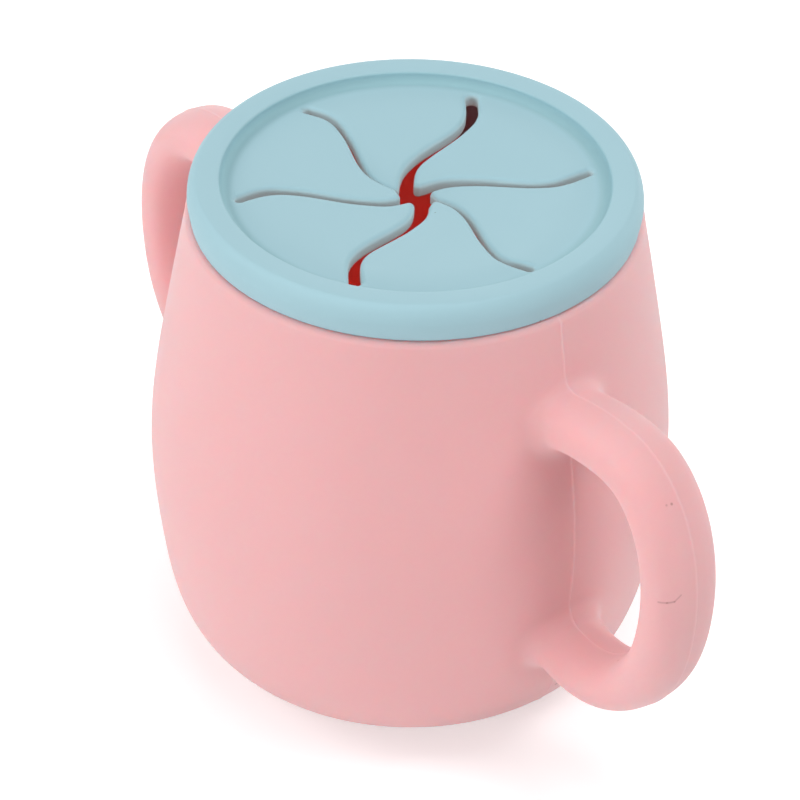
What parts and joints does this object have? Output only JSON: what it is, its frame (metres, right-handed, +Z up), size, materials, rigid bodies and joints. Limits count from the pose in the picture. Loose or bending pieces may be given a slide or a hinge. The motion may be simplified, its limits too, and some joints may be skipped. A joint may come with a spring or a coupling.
{
  "type": "toddler snack cup",
  "caption": "Two-handled silicone toddler cup with a rounded belly and a push-on lid whose S-shaped slits leave bendable flaps for reaching in.",
  "frame": {"origin": "middle of the base, on the surface that the cup stands on", "axes": "+Z up through the lid; +X through the right handle, which shows in front in the picture; +Y along the side with no handle"},
  "size_m": [0.1542, 0.0918, 0.0966],
  "materials": {
    "pink_silicone": "matte",
    "blue_silicone": "matte"
  },
  "bodies": {
    "cup": {"cup_body": "pink_silicone", "handle_right": "pink_silicone", "handle_left": "pink_silicone"},
    "lid": {"lid_ring": "blue_silicone"},
    "flap_1": {"lid_flap_1": "blue_silicone"},
    "flap_2": {"lid_flap_2": "blue_silicone"},
    "flap_3": {"lid_flap_3": "blue_silicone"},
    "flap_4": {"lid_flap_4": "blue_silicone"},
    "flap_5": {"lid_flap_5": "blue_silicone"},
    "flap_6": {"lid_flap_6": "blue_silicone"}
  },
  "joints": [
    {"name": "lid_lift", "type": "slide", "parent": "cup", "child": "lid", "axis": [0, 0, 1], "range_m": [0, 0.04]},
    {"name": "flap_1_bend", "type": "hinge", "parent": "lid", "child": "flap_1", "pos_m": [0.02129, 0.01388, 0.0934], "axis": [-0.5461, 0.8377, 0], "range_deg": [-60, 50], "stiffness_Nm_per_rad": 0.03},
    {"name": "flap_2_bend", "type": "hinge", "parent": "lid", "child": "flap_2", "pos_m": [-0.00137, 0.02538, 0.0934], "axis": [-0.9985, -0.0541, 0], "range_deg": [-60, 50], "stiffness_Nm_per_rad": 0.03},
    {"name": "flap_3_bend", "type": "hinge", "parent": "lid", "child": "flap_3", "pos_m": [-0.02266, 0.0115, 0.0934], "axis": [-0.4524, -0.8918, 0], "range_deg": [-60, 50], "stiffness_Nm_per_rad": 0.03},
    {"name": "flap_4_bend", "type": "hinge", "parent": "lid", "child": "flap_4", "pos_m": [-0.02129, -0.01388, 0.0934], "axis": [0.5461, -0.8377, 0], "range_deg": [-60, 50], "stiffness_Nm_per_rad": 0.03},
    {"name": "flap_5_bend", "type": "hinge", "parent": "lid", "child": "flap_5", "pos_m": [0.00137, -0.02538, 0.0934], "axis": [0.9985, 0.0541, 0], "range_deg": [-60, 50], "stiffness_Nm_per_rad": 0.03},
    {"name": "flap_6_bend", "type": "hinge", "parent": "lid", "child": "flap_6", "pos_m": [0.02266, -0.0115, 0.0934], "axis": [0.4524, 0.8918, 0], "range_deg": [-60, 50], "stiffness_Nm_per_rad": 0.03}
  ]
}
